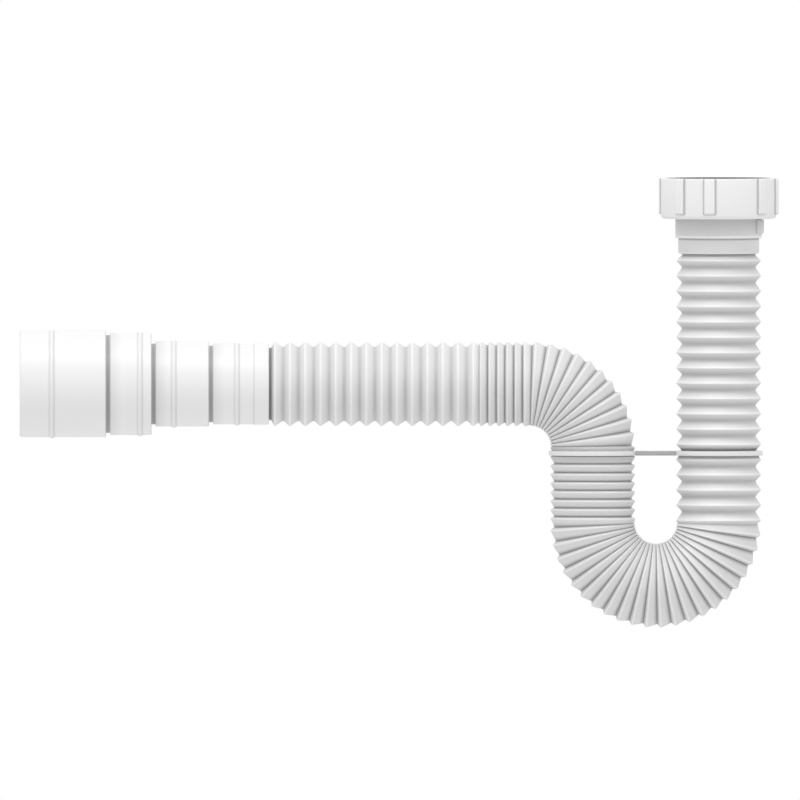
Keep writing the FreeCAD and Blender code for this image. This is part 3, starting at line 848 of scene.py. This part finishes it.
# Coupling nut


def painted_bore_shade(height, radius):
    """Painted shade on the nut's outline: darkest on the mouth's bevel, less in the bore."""
    if radius >= THREAD_RADIUS + MOUTH_BEVEL or height >= NUT_HIGH.z - SEAM:
        return 0.0
    if height > NUT_HIGH.z - BEVEL_SHADE:
        return 1.0
    return BORE_PAINTED_SHADE if height >= -FLANGE_FOOT else 0.0


def nut_body(finish):
    bevel = THREAD_RADIUS + MOUTH_BEVEL
    corners = [
        (NUT_LOW.z, NUT_HOLE, SOFT),
        (NUT_LOW.z, NUT_RADIUS, NUT_FOOT_ROUNDING),
        (NUT_HIGH.z, NUT_RADIUS, NUT_TOP_ROUNDING),
        (NUT_HIGH.z, bevel, CRISP),
        (NUT_HIGH.z - MOUTH_BEVEL, THREAD_RADIUS, MOUTH_ROUNDING),
        (NUT_HIGH.z - BORE_SHADE, THREAD_RADIUS, SHARP),
        (0.0, THREAD_RADIUS, SHARP),
        (0.0, NUT_SEAT, FINE),
        (-FLANGE_FOOT, NUT_SEAT, SHARP),
        (-FLANGE_FOOT, NUT_HOLE, FINE),
    ]
    return turned("nut_body", corners, finish, recess=painted_bore_shade)


def thread_ridge(finish):
    """The ridge between the thread's grooves, which runs in and out at both ends."""
    start = THREAD_MARGIN * THREAD_PITCH
    turns = (NUT_HIGH.z - MOUTH_BEVEL - start * 2) / THREAD_PITCH
    half_foot = THREAD_HALF_FOOT * THREAD_PITCH
    half_tip = THREAD_HALF_TIP * THREAD_PITCH
    section = softened(
        [
            ((THREAD_SINK, -half_foot, 0.0), SHARP),
            ((THREAD_SINK, half_foot, 0.0), SHARP),
            ((-THREAD_DEPTH, half_tip, 0.0), THREAD_ROUNDING),
            ((-THREAD_DEPTH, -half_tip, 0.0), THREAD_ROUNDING),
        ],
        steps=2,
    )
    rings = []
    steps = round(turns * THREAD_STEPS)
    for step in range(steps + 1):
        turn = 2 * math.pi * step / THREAD_STEPS
        ease = min(1.0, step / RUN_IN_STEPS, (steps - step) / RUN_IN_STEPS)
        ease = max(ease, THREAD_LEAST)
        rise = start + THREAD_PITCH * turn / (2 * math.pi)
        ring = []
        for point in section:
            radius = THREAD_RADIUS + THREAD_SINK + (point.x - THREAD_SINK) * ease
            ring.append((radius * math.cos(turn), radius * math.sin(turn), rise + point.y))
        rings.append(ring)
    # The thread gets the bore's painted shade
    return skin("thread_ridge", rings, finish, painted_shadings=[BORE_PAINTED_SHADE] * len(section))


def rib_levels():
    """Heights of the rib's sections, each with its share of the full height over the nut."""
    levels = []
    for step in range(RIB_NOSE_STEPS + 1):
        swing = math.pi / 2 * step / RIB_NOSE_STEPS
        height = RIB_LOW + RIB_PROUD * (1 - math.cos(swing))
        levels.append((height, math.sin(swing)))
    for step in range(RIB_TOP_STEPS + 1):
        swing = math.pi / 2 * step / RIB_TOP_STEPS
        rise = NUT_TOP_ROUNDING * (1 - math.sin(swing))
        drop = NUT_TOP_ROUNDING * (1 - math.cos(swing))
        levels.append((NUT_HIGH.z - RIB_TOP_STEP - rise, 1.0 - drop / RIB_PROUD))
    return levels


def grip_rib(finish):
    """One grip rib on the +X side: rounded edges and root, rounded foot, almost flush top."""
    root = (THREAD_RADIUS + NUT_RADIUS) / 2
    rings = []
    painted_shadings = []
    for height, share in rib_levels():
        crest = NUT_RADIUS - RIB_SINK + (RIB_PROUD + RIB_SINK) * share
        above = height - RIB_LOW
        half = RIB_WIDTH / 2
        if above < RIB_END_ROUNDING:
            inset = RIB_END_ROUNDING - above
            half -= RIB_END_ROUNDING - math.sqrt(RIB_END_ROUNDING**2 - inset**2)
        spread = RIB_ROOT_ROUNDING * share
        foot = math.sqrt(NUT_RADIUS**2 - (half + spread) ** 2) - SEAM
        climb = foot + (crest - foot) * RIB_CLIMB
        corner = softened(
            [
                ((root, 0.0, 0.0), SHARP),
                ((climb, half, 0.0), SHARP),
                ((crest, half, 0.0), RIB_ROUNDING * max(share, RIB_LEAST_ROUNDING)),
                ((crest, 0.0, 0.0), SHARP),
            ],
            steps=4,
        )
        bend = foot + (climb - foot) * RIB_ROOT_RISE
        side = [
            Vector((root, half + spread, 0.0)),
            Vector((foot, half + spread, 0.0)),
            Vector((bend, half + spread * RIB_ROOT_SPREAD, 0.0)),
        ]
        side += corner[1:-1]
        outline = [Vector((p.x, -p.y, 0.0)) for p in side] + side[::-1]
        rings.append([(p.x, p.y, height) for p in outline])
        # Painted shade on the rib's sides by its root and under its foot, none on its top
        shade = [0.0, 0.0, RIB_ROOT_PAINTED_SHADE, RIB_ROOT_PAINTED_SHADE] + [0.0] * (len(side) - 4)
        beneath = RIB_FOOT_PAINTED_SHADE * max(0.0, 1 - above / RIB_PROUD)
        below_top = float(height < NUT_HIGH.z - RIB_TOP_STEP - SEAM)
        shade = [max(value, beneath) * below_top for value in shade]
        painted_shadings += shade + shade[::-1]
    return skin("grip_rib", rings, finish, painted_shadings=painted_shadings)


def rib_graph():
    """Sets a rib in pairs all round the nut's body."""
    graph, given = shape_graph(
        "paired_ribs",
        {
            "Body": "Geometry",
            "Rib": "Object",
            "Pairs": "Int",
            "Spacing": "Float",
            "Start": "Float",
            "Finish": "Material",
        },
    )
    points = graph.add("GeometryNodePoints", sockets={"Count": given["Pairs"] * 2})
    index = graph.add("GeometryNodeInputIndex")["Index"]
    pair = (index / 2).math("FLOOR")
    side = index - pair * 2 - 0.5
    angle = given["Start"] + pair * (2 * math.pi) / given["Pairs"] + side * given["Spacing"]
    turn = graph.add(
        "FunctionNodeEulerToRotation", sockets={"Euler": graph.vector(0.0, 0.0, angle)}
    )["Rotation"]
    rib = graph.add("GeometryNodeObjectInfo", sockets={"Object": given["Rib"]})["Geometry"]
    ribs = graph.add(
        "GeometryNodeInstanceOnPoints",
        sockets={"Points": points["Points"], "Instance": rib, "Rotation": turn},
    )["Instances"]
    real = graph.add("GeometryNodeRealizeInstances", sockets={"Geometry": ribs})["Geometry"]
    both = graph.add("GeometryNodeJoinGeometry", sockets={"Geometry": [given["Body"], real]})
    end_shape(graph, both["Geometry"], given["Finish"])
    return graph


def coupling_nut(finish):
    """The nut's body with its thread and its ribs."""
    rib = bpy.data.objects.new("grip_rib", grip_rib(finish))
    body = joined("nut_body", [nut_body(finish), thread_ridge(finish)])
    mesh = mesh_from(
        "ribbed_nut",
        rib_graph(),
        body,
        {
            "Rib": rib,
            "Pairs": RIB_PAIRS,
            "Spacing": RIB_SPACING,
            "Start": RIB_START,
            "Finish": finish,
        },
    )
    bpy.data.objects.remove(rib)
    show("ribbed_nut", mesh, "nut", "coupling_nut")


# Washer and tailpiece


def washer(finish):
    corners = [
        (-WASHER_THICKNESS, WATER_RADIUS, WASHER_ROUNDING),
        (-WASHER_THICKNESS, FLANGE_RADIUS, WASHER_ROUNDING),
        (0.0, FLANGE_RADIUS, WASHER_ROUNDING),
        (0.0, WATER_RADIUS, WASHER_ROUNDING),
    ]
    mesh = turned("washer_ring", corners, finish)
    show("washer_ring", mesh, "trap", "sealing_washer")


def nut_painted_shadow(height, _):
    """Painted shadow of the nut on the collar at a height: darkest up under it, none on its
    edge.
    """
    if height < COLLAR_EDGE - COLLAR_END:
        return 0.0
    share = (height + COLLAR_END) / (COLLAR_END - FLANGE_FOOT)
    return COLLAR_PAINTED_SHADOW * (COLLAR_LEAST + (1 - COLLAR_LEAST) * share)


def tailpiece(finish):
    """Flange, collar and stop lug in one moulding."""
    flange_top = -WASHER_THICKNESS
    corners = [
        (flange_top, WATER_RADIUS, FINE),
        (flange_top, FLANGE_RADIUS, FINE),
        (-FLANGE_FOOT, FLANGE_RADIUS, FINE),
        (-FLANGE_FOOT, COLLAR_RADIUS, FINE),
        (COLLAR_EDGE + EDGE_FADE - COLLAR_END, COLLAR_RADIUS, SHARP),
        (COLLAR_EDGE - EDGE_FADE / 2 - COLLAR_END, COLLAR_RADIUS, SHARP),
        (-COLLAR_END, COLLAR_RADIUS, COLLAR_ROUNDING),
        (-COLLAR_END, INLET_SOCKET, CLOSE),
        (-SOCKET_TOP, INLET_SOCKET, SHARP),
        (-SOCKET_TOP, WATER_RADIUS, CLOSE),
    ]
    body = turned("tailpiece_body", corners, finish, recess=nut_painted_shadow)
    root = (INLET_SOCKET + COLLAR_RADIUS) / 2
    crest = COLLAR_RADIUS + LUG_PROUD
    foot = -LUG_TOP - LUG_HEIGHT
    section = softened(
        [
            ((foot, root, 0.0), SHARP),
            ((foot, crest - LUG_BEVEL, 0.0), FINE),
            ((foot + LUG_BEVEL, crest, 0.0), FINE),
            ((-LUG_TOP, crest, 0.0), FINE),
            ((-LUG_TOP, root, 0.0), SHARP),
        ]
    )
    rings = []
    for step in range(LUG_STEPS + 1):
        turn = LUG_START + LUG_SWEEP * step / LUG_STEPS
        rings.append([(p.y * math.cos(turn), p.y * math.sin(turn), p.x) for p in section])
    # The lug gets the nut's painted shadow too
    shade = [nut_painted_shadow(p.x, p.y) for p in section]
    lug = skin("stop_lug", rings, finish, painted_shadings=shade)
    mesh = joined("collared_tailpiece", [body, lug])
    show("collared_tailpiece", mesh, "trap", "inlet_tailpiece")


# Clip


def arc(centre_x, radius, start, end, steps):
    """Points of a circle about (centre_x, 0), from one angle in degrees to another."""
    points = []
    for step in range(steps + 1):
        turn = math.radians(start + (end - start) * step / steps)
        points.append((centre_x + radius * math.cos(turn), radius * math.sin(turn), 0.0))
    return points


def clip(finish):
    """Flat plate with two rings, open at the back, joined by a bar."""
    outer = CREST_RADIUS + CLIP_PROUD
    middle_x = -2 * BEND_RADIUS
    inlet_bore = CREST_RADIUS - WIDE["depth"] * (1 - INLET_ROOM / WIDE["pitch"])
    middle_bore = CREST_RADIUS - TIGHT["depth"] * (1 - MIDDLE_ROOM / TIGHT["pitch"])
    half_mouth = CLIP_MOUTH / 2
    lip = math.degrees(math.acos(half_mouth / outer))
    inlet_lip = math.degrees(math.acos(half_mouth / inlet_bore))
    middle_lip = math.degrees(math.acos(half_mouth / middle_bore))
    bar = math.degrees(math.asin(CLIP_BAR_WIDTH / 2 / outer))
    plan = []
    plan += arc(0.0, outer, lip, bar - 180, RING_STEPS)
    plan += arc(middle_x, outer, -bar, -180 - lip, RING_STEPS)
    plan += arc(middle_x, middle_bore, 180 - middle_lip, 360 + middle_lip, BORE_STEPS)
    plan += arc(middle_x, outer, lip, bar, ARM_STEPS)
    plan += arc(0.0, outer, 180 - bar, 180 - lip, ARM_STEPS)
    plan += arc(0.0, inlet_bore, 180 - inlet_lip, 360 + inlet_lip, BORE_STEPS)
    work = bmesh.new()
    low = -CLIP_DEPTH - CLIP_THICKNESS / 2
    flat = work.faces.new([work.verts.new((x, y, low)) for x, y, _ in plan])
    raised = bmesh.ops.extrude_face_region(work, geom=[flat])["geom"]
    moved = [item for item in raised if isinstance(item, bmesh.types.BMVert)]
    bmesh.ops.translate(work, verts=moved, vec=(0.0, 0.0, CLIP_THICKNESS))
    bmesh.ops.recalc_face_normals(work, faces=work.faces)
    creased = [edge for edge in work.edges if edge.calc_face_angle() > CLIP_CREASE]
    bmesh.ops.bevel(
        work,
        geom=creased,
        offset=CLIP_ROUNDING,
        segments=3,
        profile=0.5,
        affect="EDGES",
        clamp_overlap=True,
    )
    mesh = bpy.data.meshes.new("two_ring_clip")
    work.to_mesh(mesh)
    work.free()
    # Painted shade on the bar, set back between the rings, which makes it darker than them
    half_gap = BEND_RADIUS - outer + CLIP_ROUNDING * 2
    bar_painted_shade = []
    for vert in mesh.vertices:
        between_rings = abs(vert.co.x + BEND_RADIUS) < half_gap
        bar_painted_shade.append(float(between_rings and abs(vert.co.y) < CLIP_BAR_WIDTH))
    set_painted_shading(mesh, bar_painted_shade)
    mesh = finished(mesh, finish)
    show("two_ring_clip", mesh, "trap", "trap_clip")


# Stepped adapter


def adapter_outline():
    """The adapter's outline from its mouth on, and its painted shade at places along it."""
    rim = STEPS[0][0] + COLLAR_PROUD
    outside = [
        (0.0, rim - ADAPTER_EDGE, FINE),
        (ADAPTER_EDGE, rim, SOFT),
        (MOUTH_COLLAR - BEAD_SHADE, rim, SHARP),
        (MOUTH_COLLAR, rim, CRISP),
        (MOUTH_COLLAR, STEPS[0][0], CRISP / 2),
        (MOUTH_COLLAR + BEAD_SHADE, STEPS[0][0], SHARP),
    ]
    shades = [
        (MOUTH_COLLAR - BEAD_SHADE, 0.0),
        (MOUTH_COLLAR, MOUTH_COLLAR_PAINTED_SHADE),
        (MOUTH_COLLAR + BEAD_SHADE, 0.0),
    ]
    first_foot, first_shoulder, last_shoulder, last_foot = BEAD_PAINTED_SHADE
    before_groove, first_wall, bottom, last_wall = GROOVE_PAINTED_SHADE
    slope = BEAD_WIDTH / 4
    reach = 0.0
    starts = []
    for i, (radius, length, bead) in enumerate(STEPS):
        starts.append(reach)
        low = reach + bead
        high = low + BEAD_WIDTH
        outside += [
            (low - BEAD_SHADE, radius, SHARP),
            (low, radius, BEAD_ROUNDING),
            (low + slope, radius + BEAD_PROUD, BEAD_ROUNDING),
            (high - slope, radius + BEAD_PROUD, BEAD_ROUNDING),
            (high, radius, BEAD_ROUNDING),
            (high + BEAD_SHADE, radius, SHARP),
        ]
        shades += [
            (low - BEAD_SHADE, 0.0),
            (low, first_foot),
            (low + slope, first_shoulder),
            (high - slope, last_shoulder),
            (high, last_foot),
            (high + BEAD_SHADE, 0.0),
        ]
        reach += length
        if i + 1 < len(STEPS):
            larger = STEPS[i + 1][0]
            floor = radius - GROOVE_DEPTH
            near = reach - GROOVE_WIDTH
            middle = reach - GROOVE_WIDTH / 2
            outside += [
                (near - GROOVE_SHADE, radius, SHARP),
                (near, radius, FINE),
                (near, floor, CLOSE),
                (middle, floor, SHARP),
                (reach, floor, CLOSE),
                (reach, larger - STEP_EDGE, FINE),
                (reach + STEP_EDGE, larger, SOFT),
            ]
            shades += [
                (near - GROOVE_SHADE, 0.0),
                (near - GROOVE_EDGE, before_groove),
                (near, first_wall),
                (middle, bottom),
                (reach, last_wall),
                (reach + STEP_EDGE, 0.0),
            ]
        else:
            outside.append((reach - ADAPTER_EDGE, radius, SOFT))
            outside.append((reach, radius - ADAPTER_EDGE, FINE))
    bores = [radius - ADAPTER_WALL for radius, _, _ in STEPS]
    inside = [(reach, bores[3], SOFT)]
    for i in (3, 2):
        inside.append((starts[i] + ADAPTER_WALL * 2, bores[i], SOFT))
        inside.append((starts[i] + ADAPTER_WALL, bores[i - 1], SOFT))
    inside += [
        (starts[1] + ADAPTER_WALL * 2, bores[1], SOFT),
        (starts[1], SPIGOT_BORE, SOFT),
        (SOCKET_DEPTH, SPIGOT_BORE, CRISP),
        (SOCKET_DEPTH, OUTLET_SOCKET, SHARP),
        (ADAPTER_EDGE, OUTLET_SOCKET, CRISP),
        (0.0, OUTLET_SOCKET + ADAPTER_EDGE, CRISP),
    ]
    return outside + inside, shades, starts


def adapter(finish):
    """Stepped outlet with a bead on each size and saw grooves between them."""
    outline, shades, starts = adapter_outline()
    mouth = ADAPTER_HIGH.x

    def shade_of(x, radius):
        """Painted shade beside the beads and in the grooves, between the given places."""
        along = mouth - x
        step = max(i for i, start in enumerate(starts) if start - SEAM <= along or not i)
        if radius < STEPS[step][0] - GROOVE_DEPTH - SEAM * 2:
            return 0.0
        for (start, first), (end, last) in zip(shades, shades[1:]):
            if start <= along <= end:
                return first + (last - first) * (along - start) / (end - start)
        return 0.0

    corners = [(mouth - along, radius, rounding) for along, radius, rounding in outline]
    mesh = turned("stepped_adapter", corners, finish, height=OUTLET_HEIGHT, recess=shade_of)
    show("stepped_adapter", mesh, "trap", "outlet_adapter")


# Camera: the photograph is 800 pixels wide, and looks at the trap almost level

PHOTO_SIDE = 800
PIXEL = 0.47 * MM
ORIGIN_PIXEL = (718.7, 205.66)
CAMERA_ELEVATION = math.radians(0.9)
CAMERA_DISTANCE = 2.0


def add_camera():
    centre = PHOTO_SIDE / 2
    aim = Vector(((centre - ORIGIN_PIXEL[0]) * PIXEL, 0.0, (ORIGIN_PIXEL[1] - centre) * PIXEL))
    back = Vector((0.0, -math.cos(CAMERA_ELEVATION), math.sin(CAMERA_ELEVATION)))
    data = bpy.data.cameras.new("photo_camera")
    data.type = "ORTHO"
    data.ortho_scale = PHOTO_SIDE * PIXEL
    camera = bpy.data.objects.new("photo_camera", data)
    camera.location = aim + back * CAMERA_DISTANCE
    camera.rotation_euler = (math.pi / 2 - CAMERA_ELEVATION, 0.0, 0.0)
    bpy.context.scene.collection.objects.link(camera)
    bpy.context.scene.camera = camera
    return aim


# Studio

FLOOR_HEIGHT = -0.36
FLOOR_SIDE = 6.0
FLOOR_TONE = 0.9
FLOOR_ROUGHNESS = 0.9
# Distances from under the object between which the floor fades out
FADE_START = 0.5
FADE_LENGTH = 1.5
WORLD_LEVEL = 0.59
SOFTBOX_SIDE = 1.0
# Name, place and power in watts
SOFTBOXES = (
    ("high_softbox", (-0.3, -0.7, 1.6), 12.2),
    ("left_softbox", (-1.6, -0.8, 1.0), 2.9),
    ("right_softbox", (1.3, -0.8, 1.0), 4.5),
)


def floor_finish():
    """Pale matt floor that keeps the shadow and fades out to the white background."""
    material, graph = new_material("studio_floor")
    x, y, _ = graph.parts(graph.add("ShaderNodeTexCoord")["Object"])
    distance = (x * x + y * y).math("SQRT")
    fade = ((distance - FADE_START) / FADE_LENGTH).between(0.0, 1.0)
    seen = graph.add("ShaderNodeLightPath")["Is Camera Ray"]
    paint = graph.add(
        "ShaderNodeBsdfPrincipled",
        sockets={"Base Color": grey(FLOOR_TONE), "Roughness": FLOOR_ROUGHNESS},
    )["BSDF"]
    glow = graph.add("ShaderNodeEmission", sockets={"Strength": 1.0})["Emission"]
    mixed = graph.add("ShaderNodeMixShader", sockets={0: seen * fade, 1: paint, 2: glow})
    graph.add("ShaderNodeOutputMaterial", sockets={"Surface": mixed["Shader"]})
    return material


def add_floor(aim):
    half = FLOOR_SIDE / 2
    corners = [(-half, -half), (half, -half), (half, half), (-half, half)]
    mesh = bpy.data.meshes.new("studio_floor")
    mesh.from_pydata([(x, y, 0.0) for x, y in corners], [], [(0, 1, 2, 3)])
    mesh.materials.append(floor_finish())
    floor = bpy.data.objects.new("studio_floor", mesh)
    floor.location = (aim.x, aim.y, FLOOR_HEIGHT)
    bpy.context.scene.collection.objects.link(floor)


def add_world():
    """White to the eye, and an even soft light on the object."""
    world = bpy.data.worlds.new("white_studio")
    bpy.context.scene.world = world
    world.use_nodes = True
    graph = Graph(world.node_tree)
    path = graph.add("ShaderNodeLightPath")
    seen = path["Is Camera Ray"].math("MAXIMUM", path["Is Glossy Ray"])
    seen = seen.math("MAXIMUM", path["Is Transmission Ray"])
    strength = seen + (1 - seen) * WORLD_LEVEL
    light = graph.add(
        "ShaderNodeBackground", sockets={"Color": grey(1.0), "Strength": strength}
    )["Background"]
    graph.add("ShaderNodeOutputWorld", sockets={"Surface": light})


def add_softbox(name, place, watts, aim):
    data = bpy.data.lights.new(name, "AREA")
    data.shape = "SQUARE"
    data.size = SOFTBOX_SIDE
    data.energy = watts
    lamp = bpy.data.objects.new(name, data)
    lamp.location = place
    lamp.rotation_euler = (aim - Vector(place)).to_track_quat("-Z", "Y").to_euler()
    bpy.context.scene.collection.objects.link(lamp)


# Each finish's edge grey is a painted highlight, paler than its level only on the pipe's crests
# and edges, and its darkest grey is painted shade: nearly black in the nut's mouth
white_nut = moulded_plastic(
    "nut_plastic", level=0.94, edge=0.94, painted_shade_grey=0.1, fade=1.0, roughness=0.4, grain=0.18
)
white_fitting = moulded_plastic(
    "fitting_plastic", level=0.93, edge=0.93, painted_shade_grey=0.36, fade=1.0, roughness=0.42, grain=0.18
)
white_pipe = moulded_plastic(
    "bellows_plastic", level=0.845, edge=0.99, painted_shade_grey=0.18, fade=3.0, roughness=0.45, grain=0.25
)
white_clip = moulded_plastic(
    "clip_plastic", level=0.87, edge=0.87, painted_shade_grey=0.47, fade=1.0, roughness=0.42, grain=0.18
)

coupling_nut(white_nut)
washer(washer_rubber())
tailpiece(white_fitting)
corrugated_pipe(white_pipe)
clip(white_clip)
adapter(white_fitting)

photo_aim = add_camera()
add_floor(photo_aim)
add_world()
for softbox in SOFTBOXES:
    add_softbox(*softbox, photo_aim)
bpy.context.scene.view_settings.view_transform = "Standard"
